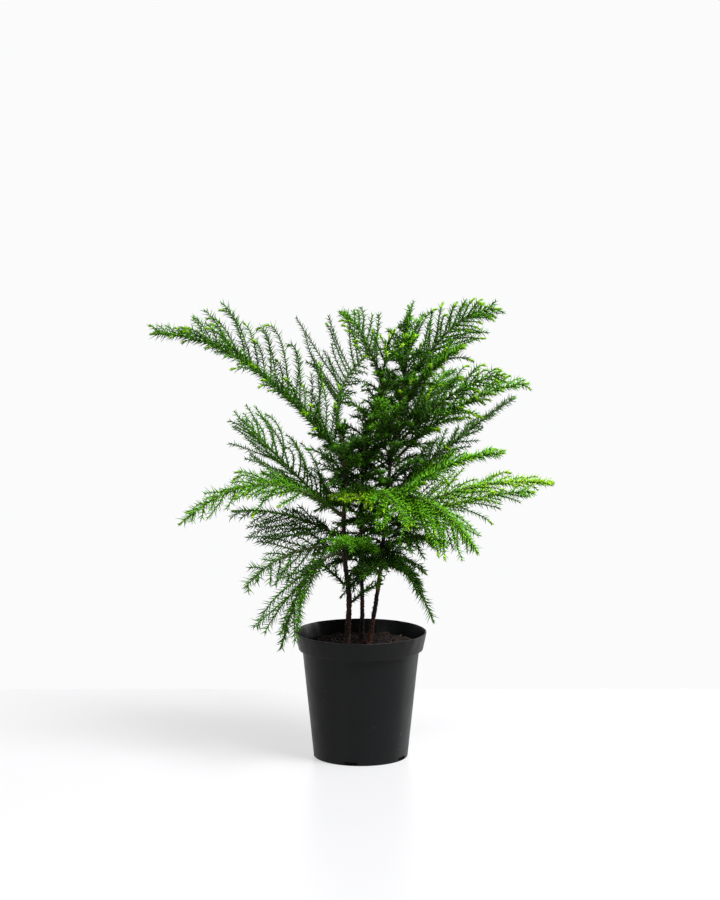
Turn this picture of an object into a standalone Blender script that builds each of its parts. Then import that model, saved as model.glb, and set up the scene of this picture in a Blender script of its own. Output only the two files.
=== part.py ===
"""Norfolk Island pine in a nursery pot: three young stems, their boughs and sprays of needles.

Metres, +Z up. The origin is the centre of the pot's flat underside, and -Y faces the viewer.
Each bough leaves its stem as a bare tapering limb, and a spray of needles carries on from its end.
"""

import math
import random

import bmesh
import bpy
from mathutils import Matrix, Vector
from mathutils.bvhtree import BVHTree

MM = 0.001
GAP = 0.3 * MM  # clear space between neighbouring solids
SEED = 11

# The pot, moulded black plastic with a deep collar under its lip
POT_HEIGHT = 164 * MM
LIP_RADIUS = 85 * MM
LIP_EDGE = 0.6 * MM
COLLAR_HEIGHT = 23 * MM
COLLAR_FOOT_RADIUS = 80.2 * MM
NECK_RADIUS = 75.5 * MM  # the wall just under the collar
FOOT_RADIUS = 61 * MM
FOOT_EDGE = 1 * MM
POT_WALL = 1.5 * MM
POT_FLOOR = 1.8 * MM
TURN_STEPS = 40

# The drain slots, cut through the foot of the wall
SLOTS = 5
SLOT_LENGTH = 17 * MM
SLOT_HEIGHT = 4 * MM
SLOT_LOW = 1.2 * MM
SLOT_CUT = 12 * MM  # how far the cutter runs through the wall
SLOT_END = 0.45  # rounding of a slot's ends, as a share of its height
SLOT_FIRST = math.radians(258)  # the front one, a little left of the middle

# The potting mix
SOIL_TOP = 148 * MM
SOIL_EDGE_DROP = 2.5 * MM
SOIL_FLAT = 0.6  # share of the radius that is level

# The stems: stations up each centre line (x, y, height), and the radii at foot and tip, all in mm
STEMS = {
    "left": (
        (
            (-18, -6, 148), (-15, -6, 206), (-20, -7, 255),
            (-22, -7, 298), (-21, -6, 350), (-22, -5, 414),
        ),
        3.7, 1.7,
    ),
    "middle": (
        (
            (1, 11, 148), (2, 11, 203), (0, 10, 265), (2, 9, 358),
            (4, 9, 412), (12, 9, 440), (23, 8, 468), (29, 8, 500),
        ),
        2.8, 1.2,
    ),
    "right": (
        (
            (11, 0, 148), (20, 0, 205), (25, 0, 242), (31, 1, 303),
            (35, 1, 349), (39, 1, 389), (50, 2, 454), (60, 3, 529),
        ),
        3.0, 1.2,
    ),
}
FLARE = 1.6 * MM  # how much the radius grows at the root flare
FLARE_HEIGHT = 9 * MM
LINE_STEPS = 60  # steps that a stem's centre line is worked out in
STEM_POINTS = 16
STEM_CROWD = 1.2  # above 1, the points crowd towards the flare
STEM_ROUND = 2  # bevel resolution, eight sides
STEM_SUNK = 4 * MM  # the centre line starts this far down, and the flat cut takes it off
STEM_SHARP = math.radians(50)  # edges of a stem that turn more than this stay sharp

# The boughs. Stem, height on it, azimuth (0 is right, 90 is away from the viewer), reach, rise at the
# tip, arch of the middle over the straight line, sweep of the middle to the left of the way out, length
# of the longest branchlet, lift of the two rows of branchlets out of the bough's plane, and roll of
# that plane: mm and degrees.
BOUGHS = {
    "left_high": ("left", 392, 174, 247, 156, 43, 0, 96, 40, -25),
    "left_fan": ("left", 316, 146, 158, 114, -4, 0, 110, 18, -15),
    "left_long": ("left", 319, 200, 217, -2, 44, 0, 76, -9, -20),
    "left_dark": ("left", 289, 165, 147, 27, 12, 0, 84, -12, -40),
    "front_left_low": ("left", 269, 236, 136, -98, 27, -8, 126, -5, 20),
    "left_low": ("left", 276, 204, 135, -43, 14, -15, 68, -5, -52),
    "front_light": ("right", 268, 241, 126, 31, 8, 0, 60, -15, 0),
    "front_right": ("right", 341, 311, 168, -52, 24, 0, 92, -45, 5),
    "right_high": ("right", 480, 7, 124, 101, 28, 0, 74, 0, 70),
    "right_upper": ("right", 407, 343, 145, 97, 18, 0, 74, 5, 45),
    "right_middle": ("right", 387, 354, 173, 102, 22, 0, 64, 10, 35),
    "right_dark": ("right", 343, 29, 190, 115, 5, 0, 62, 0, 10),
    "right_bright": ("right", 332, 336, 159, 74, 15, -6, 46, 10, 20),
    "right_long": ("right", 307, 4, 215, 48, 20, 0, 78, 0, 18),
    "back_left_tall": ("left", 403, 77, 183, 112, 4, 27, 104, 5, 35),
    "back_tall": ("right", 500, 88, 80, 62, 5, 0, 80, 5, -50),
    "back_low": ("middle", 266, 81, 156, -37, 10, 0, 84, -5, 0),
    "back_left": ("left", 337, 87, 171, 61, 5, 0, 62, 0, 0),
    "back_right": ("right", 291, 16, 202, 47, 14, 0, 62, 0, 24),
    "back_middle": ("middle", 386, 76, 172, 92, 12, 0, 82, 5, 0),
    "back_right_high": ("right", 418, 61, 150, 70, 8, 0, 74, 8, 0),
    "front_middle": ("middle", 338, 296, 130, -23, 24, 0, 80, -20, 0),
}
BARE = 0.16  # share of a bough that is bare limb
BOUGH_RADIUS = (1.7 * MM, 1.25 * MM)
BOUGH_POINTS = 3
BOUGH_ROUND = 1  # bevel resolution, six sides
BOUGH_SHARP = math.radians(60)
SHOULDER = 2.5 * MM  # a limb leaves its stem at a right angle for this far
LENGTH_STEPS = 20  # steps that a bough's length is added up in
SLOPE_STEP = 0.01  # share of a bough to each side that its tangent is taken over

# Small sprays that leave a stem with no bare limb, in the same terms
TWIGS = {
    "left_lowest": ("left", 228, 206, 46, 34, 4, 0, 30, 0, 0),
    "middle_lowest": ("left", 205, 327, 46, 27, 4, 0, 26, 10, 0),
    "right_low": ("right", 253, 312, 96, -62, 27, -2, 56, -5, -15),
    "front_right_low": ("right", 275, 316, 108, 12, 14, 0, 60, -20, 0),
    "front_band": ("right", 337, 216, 74, 6, 4, 0, 46, -5, 0),
    "front_high": ("right", 458, 315, 109, 84, 5, -9, 60, 15, 20),
    "front_top": ("right", 419, 259, 115, 60, 3, 0, 44, 5, 30),
    "middle_top": ("middle", 493, 140, 70, 79, 18, 0, 44, -5, -10),
}
TWIG_BARE = 2  # stretches next to the stem that have no needles

# The tuft at the tip of each stem: height, and length of its branchlets
LEADERS = {"left": (22, 20), "middle": (48, 34), "right": (18, 22)}
LEADER_TURN = math.radians(137.5)
LEADER_AIM = 5  # steps of the stem's centre line that the tuft's direction is taken over
LEADER_BRANCHLETS = 5
LEADER_ROW = (0.15, 0.75)  # where they stand, as shares of the tuft's height
LEADER_TAPER = 0.4  # how much shorter the top ones are

# The needles: each is a spike drawn out of a side of a slim three-sided core
CORE_SIDES = 3
CORE_TIP = 0.45  # the last ring's share of its radius, so that a tip is sharp
CORE_RADIUS = (1.2 * MM, 0.8 * MM)
BRANCHLET_RADIUS = (0.95 * MM, 0.6 * MM)
NEEDLE_OUT = 6.5 * MM
NEEDLE_FORWARD = 9.5 * MM
NEEDLE_SPACING = 17 * MM
NEEDLE_LAST = 0.5  # the last needles' share of the full size
BRANCHLET_SPACING = 21 * MM
BRANCHLET_ANGLE = math.radians(52)
BRANCHLET_CURL = 0.45  # share of that angle that a branchlet bends back along its length
BRANCHLET_LEAST = 16 * MM
BRANCHLET_TRIES = (1, 0.75, 0.5)  # shares of its length that are tried until one is clear
GUARD = 0.45 * MM  # a branchlet is tried this much fatter, so that it stays clear

# The rows of branchlets along a spray, as shares of the bough or of the longest branchlet
ROW_START = 0.10
ROW_END = 0.93
FIRST_LENGTH = 0.55
LENGTH_GAIN = 2.3  # growth from the first one, per share of the bough
LONGEST_AT = 0.33
LAST_LENGTH = 0.25
CHANCE_LENGTH = (0.88, 1.08)
CHANCE_ANGLE = (0.9, 1.1)
CHANCE_LIFT = math.radians(7)

COLOURS = {
    "pot": ((0.013, 0.014, 0.015), 0.42),
    "soil": ((0.012, 0.008, 0.005), 0.95),
    "stem": ((0.060, 0.034, 0.020), 0.85),
    "bough": ((0.050, 0.060, 0.016), 0.75),
    "spray": ((0.030, 0.110, 0.018), 0.55),
}


def clear_scene():
    """Remove what the scene starts with."""
    for obj in list(bpy.data.objects):
        bpy.data.objects.remove(obj, do_unlink=True)


def new_collection(name):
    collection = bpy.data.collections.new(name)
    bpy.context.scene.collection.children.link(collection)
    return collection


def finish_of(kind):
    """The Principled material of one kind of sub-part, made once."""
    material = bpy.data.materials.get(kind)
    if material is None:
        colour, roughness = COLOURS[kind]
        material = bpy.data.materials.new(kind)
        material.use_nodes = True
        shader = material.node_tree.nodes["Principled BSDF"]
        shader.inputs["Base Color"].default_value = (*colour, 1)
        shader.inputs["Roughness"].default_value = roughness
        shader.inputs["Metallic"].default_value = 0
        material.diffuse_color = (*colour, 1)
    return material


def place(name, mesh, kind, collection):
    """An object of the given mesh, finish and collection."""
    obj = bpy.data.objects.new(name, mesh)
    mesh.materials.clear()
    mesh.materials.append(finish_of(kind))
    collection.objects.link(obj)
    return obj


def turned(name, profile, kind, collection):
    """A profile of (radius, height) points, carried round the Z axis by a Screw modifier."""
    mesh = bpy.data.meshes.new(name)
    edges = [(i, i + 1) for i in range(len(profile) - 1)]
    mesh.from_pydata([(radius, 0, height) for radius, height in profile], edges, [])
    obj = place(name, mesh, kind, collection)
    screw = obj.modifiers.new("Turn", "SCREW")
    screw.angle = math.tau
    screw.steps = screw.render_steps = TURN_STEPS
    screw.use_merge_vertices = True
    screw.merge_threshold = 1e-5
    screw.use_smooth_shade = True
    return obj


def wall_radius(height):
    """Outer radius of the pot's wall below the collar."""
    share = height / (POT_HEIGHT - COLLAR_HEIGHT)
    return FOOT_RADIUS + (NECK_RADIUS - FOOT_RADIUS) * share


def make_pot(collection, cutters):
    """The pot, turned from one thin wall, with its drain slots cut."""
    collar_foot = POT_HEIGHT - COLLAR_HEIGHT
    profile = [
        (0, POT_FLOOR),
        (wall_radius(POT_FLOOR) - POT_WALL, POT_FLOOR),
        (NECK_RADIUS - POT_WALL, collar_foot + POT_WALL),
        (COLLAR_FOOT_RADIUS - POT_WALL, collar_foot + POT_WALL),
        (LIP_RADIUS - POT_WALL, POT_HEIGHT - LIP_EDGE),
        (LIP_RADIUS - POT_WALL + LIP_EDGE, POT_HEIGHT),
        (LIP_RADIUS - LIP_EDGE, POT_HEIGHT),
        (LIP_RADIUS, POT_HEIGHT - LIP_EDGE),
        (COLLAR_FOOT_RADIUS, collar_foot + LIP_EDGE),
        (COLLAR_FOOT_RADIUS - LIP_EDGE, collar_foot),
        (NECK_RADIUS, collar_foot),
        (wall_radius(FOOT_EDGE), FOOT_EDGE),
        (FOOT_RADIUS - FOOT_EDGE, 0),
        (0, 0),
    ]
    pot = turned("pot", profile, "pot", collection)
    for number in range(SLOTS):
        turn = SLOT_FIRST + number * math.tau / SLOTS
        bm = bmesh.new()
        bmesh.ops.create_cube(bm, size=1)
        bmesh.ops.scale(bm, vec=(SLOT_CUT, SLOT_LENGTH, SLOT_HEIGHT), verts=bm.verts)
        ends = [e for e in bm.edges if abs(e.verts[0].co.x - e.verts[1].co.x) > MM]
        bmesh.ops.bevel(
            bm, geom=ends, offset=SLOT_END * SLOT_HEIGHT, offset_type="OFFSET", segments=2,
            profile=0.5, affect="EDGES",
        )
        centre = Vector((FOOT_RADIUS, 0, SLOT_LOW + SLOT_HEIGHT / 2))
        bm.transform(Matrix.Rotation(turn, 4, "Z") @ Matrix.Translation(centre))
        mesh = bpy.data.meshes.new(f"slot_{number + 1}")
        bm.to_mesh(mesh)
        bm.free()
        cutter = place(f"slot_{number + 1}", mesh, "pot", cutters)
        cutter.hide_render = True
        cutter.display_type = "WIRE"
    cut = pot.modifiers.new("Drain slots", "BOOLEAN")
    cut.operation = "DIFFERENCE"
    cut.operand_type = "COLLECTION"
    cut.collection = cutters
    return pot


def make_soil(collection):
    """The potting mix: a plug that fills the pot to a level top, a little lower at the edge."""
    collar_foot = POT_HEIGHT - COLLAR_HEIGHT
    inside = POT_WALL + GAP
    ledge = collar_foot + POT_WALL + GAP
    edge = SOIL_TOP - SOIL_EDGE_DROP
    collar_slope = (LIP_RADIUS - COLLAR_FOOT_RADIUS) / (COLLAR_HEIGHT - POT_WALL)
    rim = COLLAR_FOOT_RADIUS - inside + collar_slope * (edge - ledge)
    profile = [
        (0, SOIL_TOP),
        (SOIL_FLAT * rim, SOIL_TOP),
        (rim, edge),
        (COLLAR_FOOT_RADIUS - inside, ledge),
        (NECK_RADIUS - inside, ledge),
        (wall_radius(POT_FLOOR) - inside, POT_FLOOR + GAP),
        (0, POT_FLOOR + GAP),
    ]
    return turned("soil", profile, "soil", collection)


def hermite(stations, share):
    """A point of the smooth curve through the stations, share running from 0 to 1 along them."""
    last = len(stations) - 1
    at = min(share * last, last - 1e-9)
    index = int(at)
    u = at - index
    a, b = stations[index], stations[index + 1]
    before = stations[max(index - 1, 0)]
    after = stations[min(index + 2, last)]
    slope_a, slope_b = (b - before) / 2, (after - a) / 2
    return (
        a * (2 * u**3 - 3 * u**2 + 1) + slope_a * (u**3 - 2 * u**2 + u)
        + b * (3 * u**2 - 2 * u**3) + slope_b * (u**3 - u**2)
    )


def tube(path, radii, resolution):
    """A closed mesh of a round tapering limb: a bevelled curve with filled caps, its caps welded on."""
    curve = bpy.data.curves.new("limb", "CURVE")
    curve.dimensions = "3D"
    curve.bevel_depth = 1
    curve.bevel_resolution = resolution
    curve.use_fill_caps = True
    spline = curve.splines.new("POLY")
    spline.points.add(len(path) - 1)
    for point, place_at, radius in zip(spline.points, path, radii):
        point.co = (*place_at, 1)
        point.radius = radius
    obj = bpy.data.objects.new("limb", curve)
    bpy.context.scene.collection.objects.link(obj)
    graph = bpy.context.evaluated_depsgraph_get()
    mesh = bpy.data.meshes.new_from_object(obj.evaluated_get(graph))
    bpy.data.objects.remove(obj, do_unlink=True)
    bm = bmesh.new()
    bm.from_mesh(mesh)
    bmesh.ops.remove_doubles(bm, verts=bm.verts, dist=1e-6)
    bm.to_mesh(mesh)
    bm.free()
    return mesh


class Stem:
    """One stem: its centre line and radius by height."""

    def __init__(self, name):
        stations, foot, tip = STEMS[name]
        self.name = name
        self.stations = [Vector(station) * MM for station in stations]
        self.foot, self.tip = foot * MM, tip * MM
        self.low, self.high = self.stations[0].z, self.stations[-1].z
        self.line = [hermite(self.stations, i / LINE_STEPS) for i in range(LINE_STEPS + 1)]

    def centre(self, height):
        """The centre line's point at this height."""
        for a, b in zip(self.line, self.line[1:]):
            if a.z <= height <= b.z:
                return a.lerp(b, (height - a.z) / (b.z - a.z))
        return self.line[-1].copy()

    def radius(self, height):
        """True taper from foot to tip, with the root flare added at the bottom."""
        share = (height - self.low) / (self.high - self.low)
        flare = FLARE * math.exp(-max(height - self.low, 0) / FLARE_HEIGHT)
        return self.foot + (self.tip - self.foot) * share + flare

    def build(self, collection):
        """The stem's mesh, closer points at the flare, with its foot cut flat above the soil."""
        heights = [
            self.low + (self.high - self.low) * (i / (STEM_POINTS - 1)) ** STEM_CROWD
            for i in range(STEM_POINTS)
        ]
        foot = self.centre(self.low) - Vector((0, 0, STEM_SUNK))
        path = [foot] + [self.centre(height) for height in heights]
        radii = [self.radius(self.low)] + [self.radius(height) for height in heights]
        mesh = tube(path, radii, STEM_ROUND)
        bm = bmesh.new()
        bm.from_mesh(mesh)
        cut = bmesh.ops.bisect_plane(
            bm, geom=bm.verts[:] + bm.edges[:] + bm.faces[:], dist=1e-7,
            plane_co=(0, 0, SOIL_TOP + GAP), plane_no=(0, 0, 1), clear_inner=True,
        )
        rim = [item for item in cut["geom_cut"] if isinstance(item, bmesh.types.BMEdge)]
        bmesh.ops.edgeloop_fill(bm, edges=rim)
        bmesh.ops.recalc_face_normals(bm, faces=bm.faces)
        bm.to_mesh(mesh)
        bm.free()
        mesh.shade_smooth()
        mesh.set_sharp_from_angle(angle=STEM_SHARP)
        return place(f"stem_{self.name}", mesh, "stem", collection)


class Bough:
    """The centre line of one bough or twig, and the frame that its branchlets stand in."""

    def __init__(self, stem, row):
        height, azimuth, reach, rise, arch, sweep, spread, lift, roll = row[1:]
        self.reach, self.rise, self.spread = reach * MM, rise * MM, spread * MM
        self.arch, self.sweep = arch * MM, sweep * MM
        self.lift, self.roll = math.radians(lift), math.radians(roll)
        turn = math.radians(azimuth)
        self.out = Vector((math.cos(turn), math.sin(turn), 0))
        self.side = Vector((-math.sin(turn), math.cos(turn), 0))
        height *= MM
        grain = (stem.centre(height + MM) - stem.centre(height - MM)).normalized()
        square = (self.out - grain * self.out.dot(grain)).normalized()
        self.root = stem.centre(height) + square * (stem.radius(height) + GAP)
        self.start = self.root + square * SHOULDER

    def point(self, t):
        """Out by the reach and up by the rise, with parabolas 4 t (1 - t) times the arch and the sweep."""
        bow = 4 * t * (1 - t)
        straight = self.start + self.out * ((self.reach - SHOULDER) * t)
        return straight + self.side * (self.sweep * bow) + Vector((0, 0, self.rise * t + self.arch * bow))

    def frame(self, t):
        """Tangent, side and upper normal at t, the last two turned about the first by the roll."""
        tangent = (self.point(t + SLOPE_STEP) - self.point(t - SLOPE_STEP)).normalized()
        side = (self.side - tangent * self.side.dot(tangent)).normalized()
        turn = Matrix.Rotation(self.roll, 3, tangent)
        return tangent, turn @ side, turn @ tangent.cross(side)

    def length(self):
        points = [self.point(i / LENGTH_STEPS) for i in range(LENGTH_STEPS + 1)]
        return sum((b - a).length for a, b in zip(points, points[1:]))


def ring_frame(direction, up):
    """A matrix whose Z is the direction and whose X is as near as it can be to up."""
    z = direction.normalized()
    x = (up - z * up.dot(z)).normalized()
    return Matrix((x, z.cross(x), z)).transposed().to_4x4()


def twig_mesh(path, up, radii, bare=0, grow=0):
    """A slim three-sided core along the path, with a needle drawn out of its sides.

    Rings of three points are bridged into a closed core. Then two sides in three of each stretch past
    the bare ones are poked, and the poked point is carried out and forward. grow makes it all fatter.
    """
    bm = bmesh.new()
    rings = []
    count = len(path) - 1
    for i, centre in enumerate(path):
        before, after = path[max(i - 1, 0)], path[min(i + 1, count)]
        radius = radii[0] + (radii[1] - radii[0]) * i / count
        radius = radius * (CORE_TIP if i == count else 1) + grow
        frame = Matrix.Translation(centre) @ ring_frame(after - before, up)
        made = bmesh.ops.create_circle(bm, segments=CORE_SIDES, radius=radius, matrix=frame)
        rings.append({edge for vert in made["verts"] for edge in vert.link_edges})
    for a, b in zip(rings, rings[1:]):
        bmesh.ops.bridge_loops(bm, edges=list(a) + list(b))
    sides = list(bm.faces)
    for ring in (rings[0], rings[-1]):
        bmesh.ops.edgeloop_fill(bm, edges=list(ring))
    bmesh.ops.recalc_face_normals(bm, faces=bm.faces)
    bm.faces.index_update()
    for number, face in enumerate(sides):
        stretch = number // CORE_SIDES
        if (number + stretch) % CORE_SIDES == 0 or stretch < bare:
            continue
        taper = NEEDLE_LAST if stretch == count - 1 else 1
        forward = (path[stretch + 1] - path[stretch]).normalized()
        tip = face.calc_center_median()
        tip += face.normal * (NEEDLE_OUT * taper + grow) + forward * (NEEDLE_FORWARD * taper + grow)
        poked = bmesh.ops.poke(bm, faces=[face])
        poked["verts"][0].co = tip
    bmesh.ops.triangulate(bm, faces=bm.faces)
    mesh = bpy.data.meshes.new("twig")
    bm.to_mesh(mesh)
    bm.free()
    return mesh


def tree_of(mesh):
    """The mesh as a search tree, to test what it touches."""
    return BVHTree.FromPolygons(
        [vert.co.copy() for vert in mesh.vertices], [tuple(p.vertices) for p in mesh.polygons]
    )


def branchlet_path(origin, frame, side, length, angle, lift):
    """Points that leave the core at the angle and bend back towards its own direction."""
    tangent, across, normal = frame
    away = across * (side * math.cos(lift)) + normal * math.sin(lift)
    count = max(2, round(length / NEEDLE_SPACING))
    path = [origin.copy()]
    for k in range(count):
        turn = angle * (1 - BRANCHLET_CURL * (k + 0.5) / count)
        path.append(path[-1] + (tangent * math.cos(turn) + away * math.sin(turn)) * (length / count))
    return path


class Spray:
    """One mass of needles: a core that carries on from its limb, and branchlets in two rows."""

    def __init__(self, name, bough, first):
        self.name, self.bough, self.first = name, bough, first
        count = max(2, round(bough.length() * (1 - first) / NEEDLE_SPACING))
        self.path = [bough.point(first + (1 - first) * i / count) for i in range(count + 1)]
        self.up = bough.frame(0.5)[2]
        bare = 0
        if first == 0:
            self.path.insert(0, bough.root)
            bare = TWIG_BARE
        self.core = twig_mesh(self.path, self.up, CORE_RADIUS, bare)
        self.branchlets = []

    def places(self, chance):
        """The branchlets' places by rule: two rows half a step apart, longest a third of the way out."""
        bough = self.bough
        start = self.first + ROW_START * (1 - self.first)
        steps = max(2, round(bough.length() * (ROW_END - start) / BRANCHLET_SPACING))
        for step in range(steps + 1):
            side = 1 if step % 2 else -1
            t = start + (ROW_END - start) * step / steps
            fall = (1 - LAST_LENGTH) * max(0, t - LONGEST_AT) / (1 - LONGEST_AT)
            shape = min(1, FIRST_LENGTH + LENGTH_GAIN * (t - self.first)) * (1 - fall)
            length = bough.spread * shape * chance.uniform(*CHANCE_LENGTH)
            angle = BRANCHLET_ANGLE * chance.uniform(*CHANCE_ANGLE)
            lift = bough.lift + chance.uniform(-CHANCE_LIFT, CHANCE_LIFT)
            yield t, bough.frame(t), side, length, angle, lift


class Leader:
    """The tuft at a stem's tip: an upright core with short branchlets all round it."""

    def __init__(self, name, stem):
        height, self.length = (value * MM for value in LEADERS[stem.name])
        self.name = name
        foot = stem.line[-1]
        self.axis = (stem.line[-1] - stem.line[-1 - LEADER_AIM]).normalized()
        count = max(2, round(height / NEEDLE_SPACING))
        self.path = [foot + self.axis * (GAP + height * i / count) for i in range(count + 1)]
        self.up = Vector((1, 0, 0))
        self.core = twig_mesh(self.path, self.up, CORE_RADIUS)
        self.branchlets = []

    def places(self, chance):
        """The branchlets' places by rule: the same turn from one to the next, all the way up."""
        across = self.up.cross(self.axis).normalized()
        low, high = LEADER_ROW
        for step in range(LEADER_BRANCHLETS):
            turn = Matrix.Rotation(step * LEADER_TURN, 3, self.axis)
            frame = self.axis, turn @ across, turn @ self.axis.cross(across)
            share = low + (high - low) * step / (LEADER_BRANCHLETS - 1)
            angle = BRANCHLET_ANGLE * chance.uniform(*CHANCE_ANGLE)
            yield share, frame, 1, self.length * (1 - LEADER_TAPER * share), angle, 0


def grow(sprays, limbs):
    """Add each branchlet that keeps clear of every limb and of every other spray.

    One that would touch is tried shorter, and skipped if it still would.
    """
    limb_trees = [tree_of(limb) for limb in limbs]
    cores = {spray: tree_of(spray.core) for spray in sprays}
    grown = {spray: [] for spray in sprays}
    for number, spray in enumerate(sprays):
        chance = random.Random(SEED + number)
        blockers = limb_trees + [cores[other] for other in sprays if other is not spray]
        blockers += [tree for other in sprays if other is not spray for tree in grown[other]]
        for t, frame, side, length, angle, lift in spray.places(chance):
            origin = spray.bough.point(t) if isinstance(spray, Spray) else along(spray.path, t)
            for share in BRANCHLET_TRIES:
                if length * share < BRANCHLET_LEAST:
                    break
                path = branchlet_path(origin, frame, side, length * share, angle, lift)
                guard = tree_of(twig_mesh(path, frame[2], BRANCHLET_RADIUS, grow=GUARD))
                if any(guard.overlap(tree) for tree in blockers):
                    continue
                mesh = twig_mesh(path, frame[2], BRANCHLET_RADIUS)
                spray.branchlets.append(mesh)
                grown[spray].append(tree_of(mesh))
                break


def along(path, share):
    """The point at this share of a path of even steps."""
    at = min(share * (len(path) - 1), len(path) - 1 - 1e-9)
    return path[int(at)].lerp(path[int(at) + 1], at - int(at))


def join_spray(spray, collection):
    """Join the core and its branchlets by one Boolean union on a collection, and apply it."""
    name = f"spray_{spray.name}"
    pieces = new_collection(f"{name}_pieces")
    for mesh in spray.branchlets:
        place("branchlet", mesh, "spray", pieces)
    obj = place(name, spray.core, "spray", collection)
    if spray.branchlets:
        union = obj.modifiers.new("Join", "BOOLEAN")
        union.operation = "UNION"
        union.operand_type = "COLLECTION"
        union.collection = pieces
        graph = bpy.context.evaluated_depsgraph_get()
        joined = bpy.data.meshes.new_from_object(obj.evaluated_get(graph))
        obj.modifiers.clear()
        obj.data = joined
    for piece in list(pieces.objects):
        bpy.data.objects.remove(piece, do_unlink=True)
    bpy.data.collections.remove(pieces)
    return obj


def make_bough(name, bough, collection):
    """The bare limb: square out of the stem, then along the bough's curve, tapering to its end."""
    end = BARE - GAP / bough.length()
    path = [bough.root] + [bough.point(end * i / BOUGH_POINTS) for i in range(BOUGH_POINTS + 1)]
    thick, thin = BOUGH_RADIUS
    radii = [thick + (thin - thick) * i / (len(path) - 1) for i in range(len(path))]
    mesh = tube(path, radii, BOUGH_ROUND)
    mesh.shade_smooth()
    mesh.set_sharp_from_angle(angle=BOUGH_SHARP)
    return place(f"bough_{name}", mesh, "bough", collection)


def main():
    clear_scene()
    plant = new_collection("Potted Norfolk Island pine")
    cutters = new_collection("Cutters")
    pot = make_pot(plant, cutters)
    make_soil(plant)
    graph = bpy.context.evaluated_depsgraph_get()
    limbs = [bpy.data.meshes.new_from_object(pot.evaluated_get(graph))]
    stems = {name: Stem(name) for name in STEMS}
    limbs += [stem.build(plant).data for stem in stems.values()]
    sprays = []
    for name, row in BOUGHS.items():
        bough = Bough(stems[row[0]], row)
        limbs.append(make_bough(name, bough, plant).data)
        sprays.append(Spray(name, bough, BARE))
    for name, row in TWIGS.items():
        sprays.append(Spray(name, Bough(stems[row[0]], row), 0))
    for name, stem in stems.items():
        sprays.append(Leader(f"{name}_leader", stem))
    grow(sprays, limbs)
    for spray in sprays:
        join_spray(spray, plant)


main()
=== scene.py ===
"""Looks of a young Norfolk Island pine in its nursery pot: three stems, their boughs, twigs and needles.

Laid out as an add-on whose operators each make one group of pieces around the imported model, and run as a
script. Metres, +Z up. The origin is the centre of the pot's underside, and -Y faces the front view.
"""

import math
from collections import defaultdict, namedtuple

import bmesh
import bpy
import numpy as np
from bpy.props import FloatProperty, FloatVectorProperty, IntProperty, PointerProperty
from bpy.types import Operator, Panel, PropertyGroup
from mathutils import Matrix, Vector


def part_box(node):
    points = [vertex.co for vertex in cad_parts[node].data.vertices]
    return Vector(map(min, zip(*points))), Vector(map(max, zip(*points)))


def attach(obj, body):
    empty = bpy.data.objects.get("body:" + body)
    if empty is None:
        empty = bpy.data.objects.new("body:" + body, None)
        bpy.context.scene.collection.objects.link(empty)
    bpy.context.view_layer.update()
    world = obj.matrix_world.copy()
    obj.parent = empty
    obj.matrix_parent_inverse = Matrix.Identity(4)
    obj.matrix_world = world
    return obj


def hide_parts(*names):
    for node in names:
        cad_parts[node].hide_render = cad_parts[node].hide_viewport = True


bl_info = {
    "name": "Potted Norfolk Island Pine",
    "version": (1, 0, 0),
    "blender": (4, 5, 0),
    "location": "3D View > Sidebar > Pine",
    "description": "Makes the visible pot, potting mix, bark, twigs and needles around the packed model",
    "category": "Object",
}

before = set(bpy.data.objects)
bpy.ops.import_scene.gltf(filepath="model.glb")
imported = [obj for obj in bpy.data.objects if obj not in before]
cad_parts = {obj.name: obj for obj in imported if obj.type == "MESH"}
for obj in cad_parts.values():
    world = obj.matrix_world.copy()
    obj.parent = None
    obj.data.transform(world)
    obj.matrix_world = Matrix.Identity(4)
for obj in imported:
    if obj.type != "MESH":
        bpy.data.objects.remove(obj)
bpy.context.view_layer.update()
MM = 0.001
BODY = "root"
UP = np.array([0.0, 0.0, 1.0])
AWAY = np.array([0, 1, 0])

# The pot's outline below the lip, whose own radius and height come from the frame, and its drain slots. The
# hub is the middle of its floor, inside the first ring of points
POT_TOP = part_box("pot")[1]
LIP_RADIUS = POT_TOP.x
POT_HEIGHT = POT_TOP.z
COLLAR_HEIGHT = 23 * MM
COLLAR_FOOT = POT_HEIGHT - COLLAR_HEIGHT
COLLAR_FOOT_RADIUS = 80.2 * MM
NECK_RADIUS = 75.5 * MM
FOOT_RADIUS = 61 * MM
HUB_RADIUS = 24 * MM
POT_WALL = 1.5 * MM
POT_FLOOR = 1.8 * MM
SLOTS = 5
SLOT_SIZE = (17 * MM, 4 * MM)
SLOT_DEPTH = 12 * MM
SLOT_LOW = 1.2 * MM
SLOT_FIRST = math.radians(258)

# The potting mix, clear of the pot by the gap all round: its ledge at the collar's foot, and the radius
# of its top where it meets the collar's inner side
GAP = 0.3 * MM
INSIDE = POT_WALL + GAP
SOIL_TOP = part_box("soil")[1].z
SOIL_EDGE_DROP = 2.5 * MM
SOIL_EDGE = SOIL_TOP - SOIL_EDGE_DROP
SOIL_LEDGE = COLLAR_FOOT + INSIDE
COLLAR_SLOPE = (LIP_RADIUS - COLLAR_FOOT_RADIUS) / (COLLAR_HEIGHT - POT_WALL)
SOIL_RIM = COLLAR_FOOT_RADIUS - INSIDE + COLLAR_SLOPE * (SOIL_EDGE - SOIL_LEDGE)
SOIL_RINGS = 61
SOIL_SIDES = 192

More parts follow.
